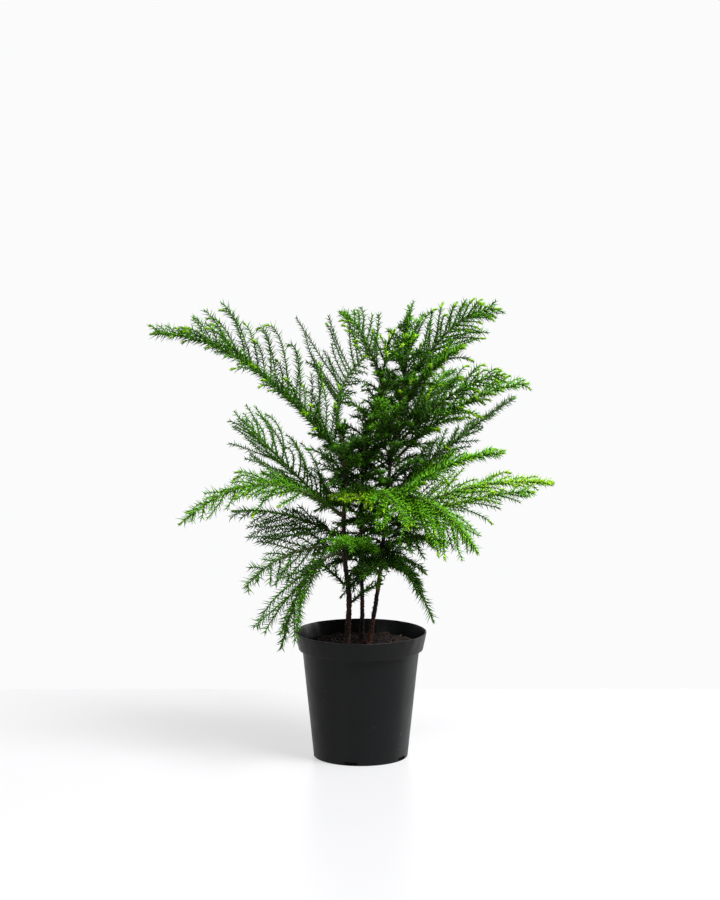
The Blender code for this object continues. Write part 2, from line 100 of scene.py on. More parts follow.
# The stems: stations up each centre line (x, y, height), and the radii at foot and tip, all in mm
STEMS = {
    "left": (
        (
            (-18, -6, 148), (-15, -6, 206), (-20, -7, 255),
            (-22, -7, 298), (-21, -6, 350), (-22, -5, 414),
        ),
        3.7, 1.7,
    ),
    "middle": (
        (
            (1, 11, 148), (2, 11, 203), (0, 10, 265), (2, 9, 358),
            (4, 9, 412), (12, 9, 440), (23, 8, 468), (29, 8, 500),
        ),
        2.8, 1.2,
    ),
    "right": (
        (
            (11, 0, 148), (20, 0, 205), (25, 0, 242), (31, 1, 303),
            (35, 1, 349), (39, 1, 389), (50, 2, 454), (60, 3, 529),
        ),
        3.0, 1.2,
    ),
}
FLARE = 1.6 * MM
FLARE_HEIGHT = 9 * MM
STEM_POINTS = 61
TIP_STEPS = 5

# The boughs. Stem, height on it, azimuth (0 is right, 90 is away from the viewer), reach, rise at the
# tip, arch of the middle over the straight line, sweep of the middle to the left of the way out, length
# of the longest branchlet, lift of the two rows of branchlets out of the bough's plane, and roll of
# that plane: mm and degrees.
BOUGHS = {
    "left_high": ("left", 392, 174, 247, 156, 43, 0, 96, 40, -25),
    "left_fan": ("left", 316, 146, 158, 114, -4, 0, 110, 18, -15),
    "left_long": ("left", 319, 200, 217, -2, 44, 0, 76, -9, -20),
    "left_dark": ("left", 289, 165, 147, 27, 12, 0, 84, -12, -40),
    "front_left_low": ("left", 269, 236, 136, -98, 27, -8, 126, -5, 20),
    "left_low": ("left", 276, 204, 135, -43, 14, -15, 68, -5, -52),
    "front_light": ("right", 268, 241, 126, 31, 8, 0, 60, -15, 0),
    "front_right": ("right", 341, 311, 168, -52, 24, 0, 92, -45, 5),
    "right_high": ("right", 480, 7, 124, 101, 28, 0, 74, 0, 70),
    "right_upper": ("right", 407, 343, 145, 97, 18, 0, 74, 5, 45),
    "right_middle": ("right", 387, 354, 173, 102, 22, 0, 64, 10, 35),
    "right_dark": ("right", 343, 29, 190, 115, 5, 0, 62, 0, 10),
    "right_bright": ("right", 332, 336, 159, 74, 15, -6, 46, 10, 20),
    "right_long": ("right", 307, 4, 215, 48, 20, 0, 78, 0, 18),
    "back_left_tall": ("left", 403, 77, 183, 112, 4, 27, 104, 5, 35),
    "back_tall": ("right", 500, 88, 80, 62, 5, 0, 80, 5, -50),
    "back_low": ("middle", 266, 81, 156, -37, 10, 0, 84, -5, 0),
    "back_left": ("left", 337, 87, 171, 61, 5, 0, 62, 0, 0),
    "back_right": ("right", 291, 16, 202, 47, 14, 0, 62, 0, 24),
    "back_middle": ("middle", 386, 76, 172, 92, 12, 0, 82, 5, 0),
    "back_right_high": ("right", 418, 61, 150, 70, 8, 0, 74, 8, 0),
    "front_middle": ("middle", 338, 296, 130, -23, 24, 0, 80, -20, 0),
}
SHOULDER = 2.5 * MM

# Small sprays that leave a stem with no bare limb, in the same terms
TWIGS = {
    "left_lowest": ("left", 228, 206, 46, 34, 4, 0, 30, 0, 0),
    "middle_lowest": ("left", 205, 327, 46, 27, 4, 0, 26, 10, 0),
    "right_low": ("right", 253, 312, 96, -62, 27, -2, 56, -5, -15),
    "front_right_low": ("right", 275, 316, 108, 12, 14, 0, 60, -20, 0),
    "front_band": ("right", 337, 216, 74, 6, 4, 0, 46, -5, 0),
    "front_high": ("right", 458, 315, 109, 84, 5, -9, 60, 15, 20),
    "front_top": ("right", 419, 259, 115, 60, 3, 0, 44, 5, 30),
    "middle_top": ("middle", 493, 140, 70, 79, 18, 0, 44, -5, -10),
}
ROWS = {**BOUGHS, **TWIGS}

# The tuft at the tip of each stem: height and length of its branchlets in mm, how many there are, the share
# of the height where they start and end, and how much shorter they get on the way
LEADERS = {"left": (22, 20), "middle": (48, 34), "right": (18, 22)}
LEADER_BRANCHLETS = 9
LEADER_ROOT = 6 * MM
LEADER_ROW = (0.15, 0.75)
LEADER_TAPER = 0.4
GOLDEN_TURN = math.radians(137.5)

# The rule of the branchlets, and how some sprays differ from it: angle with the bough in degrees, how
# much of it a branchlet loses along its length, share of the bough that is bare at its foot, share where
# the longest branchlet stands, length of the first one as a share of the longest, share where the last
# and shortest ones begin, and length of the rows on the left and the right of the way out
Habit = namedtuple(
    "Habit", "angle curl bare longest first end rows", defaults=(52, 0.45, 0.1, 0.33, 0.3, 1, (1, 1))
)
HABITS = {
    "left_high": Habit(bare=0.02, longest=0.4, first=0.85, end=0.82),
    "left_fan": Habit(angle=50, curl=1.0, bare=0.1, longest=0.5, first=0.55, rows=(1.1, 0.95)),
    "left_long": Habit(bare=0.24, rows=(1, 0.8)),
    "front_left_low": Habit(angle=36, bare=0.25, longest=0.5, end=0.9, rows=(0.9, 1.05)),
    "back_middle": Habit(longest=0.3, first=0.7, rows=(0.3, 1)),
    "left_dark": Habit(angle=42, longest=0.15, first=0.9, end=0.7, rows=(1.3, 0.5)),
    "left_low": Habit(longest=0.2, first=0.9, end=0.9, rows=(1.15, 0.95)),
    "right_high": Habit(angle=38, curl=0.3, longest=0.2, first=0.8, end=0.9, rows=(0.9, 1)),
    "right_upper": Habit(angle=46, longest=0.2, first=0.6),
    "right_middle": Habit(angle=42, longest=0.2, first=0.6),
    "right_bright": Habit(angle=42, longest=0.25, first=0.9, rows=(1.2, 1)),
    "right_dark": Habit(angle=42, longest=0.15, first=0.9, end=0.75),
    "front_right": Habit(angle=42, longest=0.45, end=0.9, rows=(1, 1.15)),
    "back_left_tall": Habit(angle=54, curl=0.2, bare=0.4, longest=0.6, first=0.8, rows=(1, 0.3)),
    "right_low": Habit(angle=32, longest=0.25, first=0.8, end=0.8, rows=(0.9, 1.3)),
    "back_tall": Habit(angle=32, curl=0.2, longest=0.3, first=0.9, end=0.8),
    "right_long": Habit(longest=0.25, first=0.7),
    "middle_top": Habit(angle=40, longest=0.25, first=0.9, end=0.85, rows=(0.9, 1.4)),
}
BRANCHLET_LEAST = 9 * MM
BRANCHLET_STEP = 5 * MM
AXIS_STEP = 4 * MM
BARE_LEAST = 12 * MM
CLEAR = 2 * MM
STEM_CLEAR = 1 * MM
TWIG_SIDES = 4
TWIG_TAPER = 0.55
ROW_END = 0.95
ROW_CROWD = 1.35  # above 1, the branchlets stand closer near the stem
LAST_LENGTH = 0.18
CHANCE_LENGTH = (0.45, 1.15)
CHANCE_ANGLE = (0.75, 1.25)
CHANCE_LIFT = math.radians(18)
CHANCE_SWAY = 0.45
CHANCE_NOD = (-0.1, 0.7)
CLAW_NOD = 0.6

# The shoots between the boughs: lowest and highest on each stem, and their reach at both, in mm
INNER_BAND = {"left": (322, 404, 58, 52), "middle": (240, 495, 78, 28), "right": (244, 518, 80, 48)}

# The needles. An angle is with the twig, in degrees, and a share is of the needle's length
LEAFY = 300 * MM  # they stand on the stems themselves from this height up
AXIS_PITCH = 0.6  # they stand closer than elsewhere on the axis of a bough, by this share
NEEDLE_ANGLE = 55
END_ANGLE = 37  # at the very end of a twig
CHANCE_NEEDLE = 14
CLAW = 8 * MM
CLAW_NEEDLE = 5 * MM
CLAW_ANGLE = 28
NEEDLE_THICKEST = 0.12
NEEDLE_CURVE = 0.02
NEEDLE_GAINS = ((0.42, 0.5, 0.7), (1.65, 1.5, 1.0))  # of their green where it is darkest and lightest
NEEDLES_A_PIECE = 48000

# The stage: corners of the floor, and its glow, which stands in for the rest of the bright room and keeps
# the shadows pale; place, side and power of each soft light, and the point they aim at, in metres and watts
FLOOR = ((-6, -7, 0), (6, -7, 0), (6, 0.39, 0), (-6, 0.39, 0))
FLOOR_LIGHT = 0.57
SOFTBOXES = {
    "key": ((1.8, -1.35, 3.75), 1.8, 690),
    "fill": ((-1.9, -2.2, 1.5), 1.2, 30),
    "rim": ((1.6, 0.7, 0.5), 0.9, 14),
}
PLANT_MIDDLE = Vector((0, 0, 0.35))

# What each spray looks like, under the shades of its needles near the bough, further out and at the young
# tips: needle length as a share, the share of its branchlets that end in a claw of new growth, and the
# length of bough in mm for each branchlet, which a leader has none of
# Which shade a spray takes is partly painted light and shade: the darker shades on the sprays at the back,
# inside and at the top of the crown are partly painted shade, and the lighter ones on the sprays at the
# front and right partly painted light; the rest is the darker green of old needles and the yellow-green of
# new growth.
SHADES = {
    "deep deep deep": {"back_low": (0.95, 0, 5.5)},
    "deep deep mature": {
        "right_dark": (0.85, 0, 4.4), "back_left": (0.9, 0, 5.8), "back_middle": (0.9, 0, 5),
        "left_leader": (0.85, 0.5), "inner": (0.9, 0.1, 5.5),
    },
    "deep deep fresh": {"back_left_tall": (0.75, 0.2, 4.3)},
    "deep mature mature": {
        "left_dark": (0.95, 0, 4.8), "front_left_low": (1.2, 0, 9), "left_low": (1.15, 0, 7.5),
        "back_right_high": (0.9, 0.2, 4.6), "left_lowest": (0.8, 0, 8.5), "middle_lowest": (0.8, 0, 8.5),
        "right_low": (1, 0, 8), "front_top": (0.85, 0.4, 5),
    },
    "deep mature fresh": {"back_tall": (0.85, 0.3, 3.8), "front_right_low": (0.9, 0.2, 4.4)},
    "deep mature light": {"middle_leader": (0.8, 0.5)},
    "deep mature young": {
        "left_high": (1.05, 0.6, 4.6), "right_high": (0.9, 0.7, 3.5), "right_upper": (0.9, 0.7, 4.4),
        "front_high": (0.85, 0.6, 3.4), "middle_top": (0.9, 0.6, 4.6),
    },
    "mature mature fresh": {"left_fan": (0.68, 0, 4.6), "front_light": (0.95, 0.2, 6)},
    "mature fresh light": {
        "left_long": (1, 0.6, 6), "back_right": (0.8, 0.2, 5.8), "front_middle": (0.85, 0.3, 4.6),
    },
    "mature fresh young": {
        "right_middle": (0.9, 0.7, 5.8), "right_bright": (0.95, 0.5, 4.6), "right_leader": (0.7, 0.5),
    },
    "fresh fresh light": {"front_right": (0.85, 0.3, 3.4)},
    "fresh light light": {"right_long": (0.8, 0.3, 6.6)},
    "light light light": {"front_band": (0.85, 0.2, 4.6)},
}
LOOKS = {name: (shades, *look) for shades, looks in SHADES.items() for name, look in looks.items()}

# A bough's wood or a branchlet: its points, the way up, radii at root and tip, shades and share of needle
# length, the bare length at its root, whether it ends in a claw, and where it stands, as a share of the
# bough
Twig = namedtuple("Twig", "path up radii shades size bare claw place", defaults=(0.5,))


def linear(code):
    """Linear red, green and blue of an sRGB hex code such as #3f7a2a."""
    values = np.array([int(code[i:i + 2], 16) for i in (1, 3, 5)]) / 255
    return tuple(np.where(values <= 0.04045, values / 12.92, ((values + 0.055) / 1.055) ** 2.4))


def colour(name, description, code):
    """A colour property with this sRGB hex code as its default."""
    return FloatVectorProperty(
        name=name, description=description, subtype="COLOR", size=3, min=0, max=1, default=linear(code)
    )


def length(name, description, default):
    """A length property, its default in millimetres."""
    return FloatProperty(
        name=name, description=description, unit="LENGTH", subtype="DISTANCE", min=0, default=default * MM
    )


def whole(name, description, default, least=0):
    """A property that is a whole number."""
    return IntProperty(name=name, description=description, default=default, min=least)


class PotSettings(PropertyGroup):
    plastic: colour("Plastic", "Body colour of the moulded plastic", "#070809")
    dust: colour("Dust", "Colour of the dry marks left by handling", "#6d7072")
    sides: whole("Sides", "Sides of the turned shell", 180, 24)
    wobble: length("Wobble", "How far the thin wall is out of round", 0.35)


class SoilSettings(PropertyGroup):
    peat: colour("Peat", "Colour of the moist peat", "#120c09")
    bark: colour("Bark chips", "Colour of the reddish composted bark", "#2e1b14")
    relief: length("Relief", "Height of the lumps in the surface", 1.6)
    crumbs: whole("Crumbs", "Loose crumbs on the surface", 900)
    chips: whole("Chips", "Loose bark chips on the surface", 220)


class BarkSettings(PropertyGroup):
    dark: colour("Dark bark", "Colour of the old bark", "#1b1511")
    red: colour("Red bark", "Colour of the reddish patches where bark has flaked", "#573425")
    young: colour("Young bark", "Colour of a bough's brown-green bark", "#2f2e12")
    relief: length("Relief", "Height of the leaf bases on the bark", 0.28)
    stubs: whole("Stubs", "Dry needle bases left on each stem", 260)


class FoliageSettings(PropertyGroup):
    needle: length("Needle length", "Length of a full needle", 11)
    width: length("Needle width", "Width of a needle at its thickest", 1.65)
    pitch: length("Needle pitch", "Length of twig for each needle", 1.25)
    inner_pitch: length("Inner pitch", "Height of stem for each inner shoot", 4.4)
    twig: length("Twig radius", "Radius of a branchlet at its root", 1.15)
    # The deep green is partly the darker green of old needles and partly painted shade, darkened for the
    # inside of the crown and the sprays that lie in shade.
    deep: colour("Deep needles", "Old needles on the shaded sprays", "#1f3f08")
    mature: colour("Mature needles", "Full-grown needles", "#356604")
    # The fresh and light greens are partly the lighter green of new needles and partly painted light, on the
    # sprays at the front and right.
    fresh: colour("Fresh needles", "Needles of the front sprays", "#4a8012")
    light: colour("Light needles", "Yellow-green needles of this year", "#6a9414")
    young: colour("Young tips", "The newest tips", "#5d880a")
    stalk: colour("Stalk", "Green bark of the branchlets", "#1f3a0a")
    seed: whole("Seed", "Seed of every chance in the growth", 5)


class StageSettings(PropertyGroup):
    floor: colour("Floor", "Colour of the floor", "#616162")
    wall: colour("Wall", "Colour behind the floor", "#fbfbfc")
    distance: length("Camera distance", "From the pot's axis to the camera", 3600)
    height: length("Camera height", "Height of the camera over the floor", 895)
    pitch: FloatProperty(
        name="Camera pitch", description="How far the camera looks down", subtype="ANGLE",
        default=math.radians(7.82),
    )
    lens: FloatProperty(
        name="Lens", description="Focal length", subtype="DISTANCE_CAMERA", default=113.3,
    )


def unit(vectors):
    """Each vector over its own length."""
    return vectors / np.linalg.norm(vectors, axis=-1, keepdims=True)


def waves(points, size, seed, count=24):
    """A smooth random height for each point, about one high.

    It is a sum of cosines of k . p + phase, with random directions and phases, and wavelengths from 0.7 to
    1.4 times the size.
    """
    chance = np.random.default_rng(seed)
    lengths = size * chance.uniform(0.7, 1.4, (count, 1))
    k = unit(chance.normal(size=(count, 3))) * math.tau / lengths
    phase = chance.uniform(0, math.tau, count)
    return np.cos(points @ k.T + phase).sum(-1) * math.sqrt(2 / count)


def around(sides):
    """This many turns, evenly round a circle."""
    return np.arange(sides) * math.tau / sides


def polar(radius, turn, height):
    """Points at a radius from Z, a turn about it and a height."""
    return np.stack(np.broadcast_arrays(radius * np.cos(turn), radius * np.sin(turn), height), -1)


def skin(rings, start, end):
    """A closed surface over rings[i, j], with a fan of triangles to one point at each end.

    A ring runs anticlockwise seen from the end that the rings go towards, so that the faces point out.
    """
    count, sides = rings.shape[:2]
    ring = np.arange(sides)
    after = (ring + 1) % sides
    rows = np.arange(count - 1)[:, None] * sides
    quads = np.stack([rows + ring, rows + after, rows + sides + after, rows + sides + ring], -1)
    top = (count - 1) * sides
    first = np.stack([after, ring, np.full(sides, count * sides)], -1)
    last = np.stack([top + ring, top + after, np.full(sides, count * sides + 1)], -1)
    points = np.concatenate([rings.reshape(-1, 3), [start, end]])
    return points, quads.reshape(-1, 4), np.concatenate([first, last])


def joined(shapes):
    """Several shapes as one: points end to end, and each shape's faces moved on past the points before."""
    points, *kinds = zip(*shapes)
    past = np.cumsum([0] + [len(part) for part in points])
    faces = [np.concatenate([part + moved for part, moved in zip(kind, past)]) for kind in kinds]
    return np.concatenate(points), *faces


def copies(points, triangles):
    """The shape of many copies of one small mesh, where points[i] are those of copy i."""
    past = np.arange(len(points))[:, None, None] * points.shape[1]
    return points.reshape(-1, 3), np.zeros((0, 4), int), (triangles + past).reshape(-1, 3)


def new_object(name, data):
    """An object of this data in the scene."""
    obj = bpy.data.objects.new(name, data)
    bpy.context.scene.collection.objects.link(obj)
    return obj


def piece(name, shape, material, replaced=(), smooth=True):
    """A mesh object of the shape that rides on the body, with its finish, and the nodes it replaces hidden.
    """
    points, quads, triangles = shape
    mesh = bpy.data.meshes.new(name)
    mesh.vertices.add(len(points))
    mesh.vertices.foreach_set("co", np.asarray(points, np.float32).ravel())
    corners = np.concatenate([quads.ravel(), triangles.ravel()]).astype(np.int32)
    fours = np.arange(len(quads)) * 4
    threes = len(quads) * 4 + np.arange(len(triangles)) * 3
    mesh.loops.add(len(corners))
    mesh.loops.foreach_set("vertex_index", corners)
    mesh.polygons.add(len(quads) + len(triangles))
    mesh.polygons.foreach_set("loop_start", np.concatenate([fours, threes]).astype(np.int32))
    mesh.update(calc_edges=True)
    if smooth:
        mesh.shade_smooth()
    mesh.materials.append(material)
    obj = new_object(name, mesh)
    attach(obj, BODY)
    if replaced:
        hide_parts(*replaced)
    return obj


def add(tree, kind, settings=None, **inputs):
    """Add a node. settings are its own properties; an input is a value, or the socket to link to it.

    An input is named in lower case with _ for a space, or i0, i1 and so on for its place.
    """
    node = tree.nodes.new(kind)
    for name, value in (settings or {}).items():
        setattr(node, name, value)
    names = {socket.name.lower().replace(" ", "_"): socket for socket in reversed(node.inputs)}
    names.update({f"i{i}": socket for i, socket in enumerate(node.inputs)})
    for name, value in inputs.items():
        if isinstance(value, bpy.types.NodeSocket):
            tree.links.new(value, names[name])
        else:
            names[name].default_value = value
    return node


def new_material(name):
    """An empty material, its tree, and the object coordinates."""
    material = bpy.data.materials.new(name)
    material.use_nodes = True
    tree = material.node_tree
    tree.nodes.clear()
    return material, tree, add(tree, "ShaderNodeTexCoord").outputs["Object"]


def finish_with(material, **inputs):
    """The material, with a Principled shader of these inputs as its surface."""
    shader = add(material.node_tree, "ShaderNodeBsdfPrincipled", **inputs)
    add(material.node_tree, "ShaderNodeOutputMaterial", surface=shader.outputs[0])
    return material


def rgba(value, gain=1.0):
    """A colour with full alpha, its parts times the gain, or times a gain of their own, and at most 1."""
    return (*np.minimum(1.0, np.multiply(value[:], gain)), 1)


def blend(tree, share, low, high):
    """Colour between two others by a share; each is a colour or a socket."""
    return add(tree, "ShaderNodeMix", {"data_type": "RGBA"}, i0=share, i6=low, i7=high).outputs[2]


def product(tree, a, b):
    """The product of two values; each is a number or a socket."""
    return add(tree, "ShaderNodeMath", {"operation": "MULTIPLY"}, i0=a, i1=b).outputs[0]


def grain(tree, place, size, detail=2.0, stretch=(1, 1, 1)):
    """Noise whose lumps are about this many metres across, longer along an axis whose stretch is small."""
    mapping = add(tree, "ShaderNodeMapping", vector=place, scale=stretch)
    noise = add(
        tree, "ShaderNodeTexNoise", vector=mapping.outputs[0], scale=1 / size, detail=detail, roughness=0.55
    )
    return noise.outputs["Fac"]


def ramp(tree, value, low, high):
    """Value carried from the range low to high on to 0 to 1, smooth at both ends."""
    node = add(
        tree, "ShaderNodeMapRange", {"interpolation_type": "SMOOTHSTEP"}, value=value, from_min=low,
        from_max=high,
    )
    return node.outputs[0]


def bump(tree, height, depth, **under):
    """Normal of a relief this many metres deep, on top of another normal where one is given."""
    return add(tree, "ShaderNodeBump", height=height, distance=depth, strength=1.0, **under).outputs[0]


def mottled(name, colours, patch, span, relief, roughness, gloss):
    """A dull material of two colours in patches.

    patch is the size in mm and the detail of the noise that parts the colours, and span its values where
    one has given way to the other. relief is the size, detail and depth of the bumps, or None.
    """
    material, tree, place = new_material(name)
    share = ramp(tree, grain(tree, place, patch[0] * MM, patch[1]), *span)
    normal = {}
    if relief:
        size, detail, depth = relief
        normal["normal"] = bump(tree, grain(tree, place, size * MM, detail), depth * MM)
    shade = blend(tree, share, *colours)
    return finish_with(material, base_color=shade, roughness=roughness, specular_ior_level=gloss, **normal)


def moulded_polypropylene(pot):
    """Black polypropylene, injection moulded, with a satin sheen, cloudy handling marks and a few scuffs."""
    material, tree, place = new_material("Moulded polypropylene")
    cloud = grain(tree, place, 26 * MM, 3.0)
    marks = ramp(tree, grain(tree, place, 7 * MM, 4.0), 0.63, 0.74)
    patches = ramp(tree, grain(tree, place, 34 * MM, 1.0), 0.52, 0.66)
    scuffs = product(tree, product(tree, marks, patches), 0.12)
    body = blend(tree, cloud, rgba(pot.plastic, 0.8), rgba(pot.plastic, 1.25))
    dusty = blend(tree, scuffs, body, rgba(pot.dust))
    rough = add(
        tree, "ShaderNodeMapRange", value=cloud, from_min=0.3, from_max=0.7, to_min=0.34, to_max=0.46
    ).outputs[0]
    # Mould texture of about 0.5 mm, and the slow ripple of a thin wall
    fine = bump(tree, grain(tree, place, 0.6 * MM, 1.0), 0.008 * MM)
    ripple = bump(tree, grain(tree, place, 18 * MM, 2.0, (1, 1, 0.45)), 0.35 * MM, normal=fine)
    return finish_with(material, base_color=dusty, roughness=rough, ior=1.25, normal=ripple)


def moist_peat(soil):
    """Moist peat: almost black with brown fibres, and no shine."""
    colours = rgba(soil.peat), rgba(soil.bark, 0.45)
    return mottled("Moist peat", colours, (4, 4), (0.45, 0.7), (1.2, 4, 0.5), 0.95, 0.25)


def composted_bark(soil):
    """Composted bark chips: reddish brown, fibrous and dull."""
    colours = rgba(soil.bark, 0.4), rgba(soil.bark, 1.2)
    return mottled("Composted bark", colours, (1.5, 3), (0.35, 0.65), (1.5, 3, 0.3), 0.9, 0.3)


def thin_bark(bark):
    """Thin resinous conifer bark: dark brown with reddish patches where it has flaked, drawn out up the
    stem, and a rough, dull relief."""
    material, tree, place = new_material("Thin conifer bark")
    patch = ramp(tree, grain(tree, place, 9 * MM, 3.0, (1, 1, 0.35)), 0.45, 0.6)
    fleck = ramp(tree, grain(tree, place, 1.6 * MM, 3.0, (1, 1, 0.5)), 0.4, 0.62)
    red = blend(tree, fleck, rgba(bark.red, 0.45), rgba(bark.red, 1.1))
    dark = blend(tree, fleck, rgba(bark.dark, 0.6), rgba(bark.dark, 1.6))
    relief = bump(tree, grain(tree, place, 0.9 * MM, 4.0, (1, 1, 0.4)), 0.35 * MM)
    shade = blend(tree, patch, dark, red)
    return finish_with(material, base_color=shade, roughness=0.85, specular_ior_level=0.3, normal=relief)


def young_bark(bark):
    """Young bark of a bough: brown-green, flecked by the feet of its needles."""
    colours = rgba(bark.young, 0.5), rgba(bark.young, 1.25)
    return mottled("Young conifer bark", colours, (1.8, 3), (0.4, 0.62), (1.1, 3, 0.3), 0.7, 0.35)


def needle_cuticle(name, base):
    """Waxy needle skin: a green that varies from needle to needle, bluish where it is dark and yellowish
    where it is light, with a soft gloss."""
    colours = [rgba(base, gain) for gain in NEEDLE_GAINS]
    return mottled(name, colours, (3, 1), (0.3, 0.7), None, 0.5, 0.06)


def rounded(corners, radii, steps=5):
    """The outline through the corners, each replaced by an arc that touches both its sides.

    At a corner with directions u and v to its neighbours and half angle h between them, the arc's centre
    lies r / sin(h) along the bisector, and its ends r / tan(h) along the sides. A radius of 0 keeps it.
    """
    made = []
    for i, (corner, radius) in enumerate(zip(corners, radii)):
        if radius == 0:
            made.append(corner[None])
            continue
        u, v = unit(corners[i - 1] - corner), unit(corners[i + 1] - corner)
        half = math.acos(np.clip(u @ v, -1, 1)) / 2
        centre = corner + unit(u + v) * radius / math.sin(half)
        a, b = corner + u * radius / math.tan(half) - centre, corner + v * radius / math.tan(half) - centre
        turn = math.pi - 2 * half
        share = np.linspace(0, 1, steps)[:, None]
        made.append(centre + (np.sin((1 - share) * turn) * a + np.sin(share * turn) * b) / math.sin(turn))
    return np.concatenate(made)


def densified(outline, step):
    """The outline with points added so that none lie further apart than the step."""
    made = [outline[:1]]
    for a, b in zip(outline, outline[1:]):
        count = max(1, math.ceil(np.linalg.norm(b - a) / step))
        made.append(a + (b - a) * (np.arange(1, count + 1) / count)[:, None])
    return np.concatenate(made)


def turned(outline, sides):
    """Rings of points: each (radius, height) of the outline carried round Z; rings[i, j] is at turn j."""
    return polar(outline[:, :1], around(sides), outline[:, 1:])


def pot_shape(pot):
    """The pot's wall: its outline turned about Z, then pushed in and out by a slow ripple.

    The ripple is the wobble times cos(2 turn) and a smooth random height, and fades to nothing at the
    foot. Small dents press the collar in where it was gripped.
    """
    inner_collar = COLLAR_FOOT + POT_WALL
    inner_foot = FOOT_RADIUS + (NECK_RADIUS - FOOT_RADIUS) / COLLAR_FOOT * POT_FLOOR - POT_WALL
    corners = np.array([
        (HUB_RADIUS, 0), (FOOT_RADIUS, 0), (NECK_RADIUS, COLLAR_FOOT), (COLLAR_FOOT_RADIUS, COLLAR_FOOT),
        (LIP_RADIUS, POT_HEIGHT), (LIP_RADIUS - POT_WALL, POT_HEIGHT),
        (COLLAR_FOOT_RADIUS - POT_WALL, inner_collar), (NECK_RADIUS - POT_WALL, inner_collar),
        (inner_foot, POT_FLOOR), (HUB_RADIUS, POT_FLOOR),
    ])
    radii = np.array([0, 1.1, 0.8, 0.9, 0.55, 0.55, 1.5, 0.8, 1.5, 0]) * MM
    rings = turned(densified(rounded(corners, radii), 4 * MM), pot.sides)
    x, y, z = np.moveaxis(rings, -1, 0)
    fade = np.clip(z / POT_HEIGHT, 0, 1) ** 1.5
    ripple = 0.7 * np.cos(2 * np.arctan2(y, x) + 0.6) + 0.45 * waves(rings, 60 * MM, 3)
    collar = np.clip((z - COLLAR_FOOT) / (4 * MM), 0, 1)
    dents = 0.12 * MM * collar * waves(rings * (1, 1, 0.4), 14 * MM, 8)
    grow = 1 + (pot.wobble * fade * ripple + dents) / np.hypot(x, y)
    return skin(np.stack([x * grow, y * grow, z], -1), (0, 0, 0), (0, 0, POT_FLOOR))


def cut_slots(obj):
    """Cut the drain slots out of the pot with Boolean modifiers, and keep the result as its mesh.

    A cutter is a long box with rounded ends that goes through the foot of the wall.
    """
    cutters = []
    long, high = SLOT_SIZE
    place = Matrix.Translation((FOOT_RADIUS, 0, SLOT_LOW + high / 2))
    for turn in SLOT_FIRST + around(SLOTS):
        bm = bmesh.new()
        bmesh.ops.create_cube(bm, size=1)
        bmesh.ops.scale(bm, vec=(SLOT_DEPTH, long, high), verts=bm.verts)
        ends = [edge for edge in bm.edges if abs(edge.verts[0].co.x - edge.verts[1].co.x) > MM]
        bmesh.ops.bevel(
            bm, geom=ends, offset=0.45 * high, offset_type="OFFSET", segments=4, profile=0.5,
            affect="EDGES",
        )
        bm.transform(Matrix.Rotation(turn, 4, "Z") @ place)
        mesh = bpy.data.meshes.new("slot")
        bm.to_mesh(mesh)
        bm.free()
        modifier = obj.modifiers.new("Slot", "BOOLEAN")
        modifier.operation = "DIFFERENCE"
        modifier.object = new_object("slot", mesh)
        cutters.append(modifier.object)
    graph = bpy.context.evaluated_depsgraph_get()
    mesh = bpy.data.meshes.new_from_object(obj.evaluated_get(graph))
    obj.modifiers.clear()
    obj.data = mesh
    mesh.shade_smooth()
    mesh.set_sharp_from_angle(angle=math.radians(40))
    for cutter in cutters:
        bpy.data.objects.remove(cutter, do_unlink=True)


def soil_height(points, soil):
    """Height of the surface: level, lower by the drop at the rim, with lumps of 30, 9 and 3 mm."""
    flat = points * (1, 1, 0)
    share = np.clip(np.hypot(points[..., 0], points[..., 1]) / SOIL_RIM, 0, 1)
    lumps = 0.55 * waves(flat, 30 * MM, 21) + 0.3 * waves(flat, 9 * MM, 22) + 0.2 * waves(flat, 3.2 * MM, 23)
    drop = SOIL_EDGE_DROP * np.clip((share - 0.6) / 0.4, 0, 1) ** 1.5
    fade = np.clip((1 - share) / 0.06, 0, 1)
    return SOIL_TOP - drop + soil.relief * (lumps * fade - 0.5)


def soil_shape(soil):
    """The plug of potting mix, turned, its top raised by the soil's height at each point."""
    side = np.array([
        (FOOT_RADIUS - INSIDE, POT_FLOOR + GAP), (NECK_RADIUS - INSIDE, SOIL_LEDGE),
        (COLLAR_FOOT_RADIUS - INSIDE, SOIL_LEDGE), (SOIL_RIM, SOIL_EDGE),
    ])
    inward = np.linspace(SOIL_RIM, 1.2 * MM, SOIL_RINGS + 1)[1:]
    top = np.stack([inward, np.full(SOIL_RINGS, SOIL_TOP)], -1)
    rings = turned(np.concatenate([densified(side, 20 * MM), top]), SOIL_SIDES)
    level = rings[-SOIL_RINGS:]
    level[..., 2] = soil_height(level, soil)
    return skin(rings, (0, 0, POT_FLOOR + GAP), (0, 0, float(level[-1, :, 2].mean())))


def random_turns(chance, count):
    """Random rotation matrices, from the QR factors of random matrices."""
    q, _ = np.linalg.qr(chance.normal(size=(count, 3, 3)))
    return q * np.sign(np.linalg.det(q))[:, None, None]


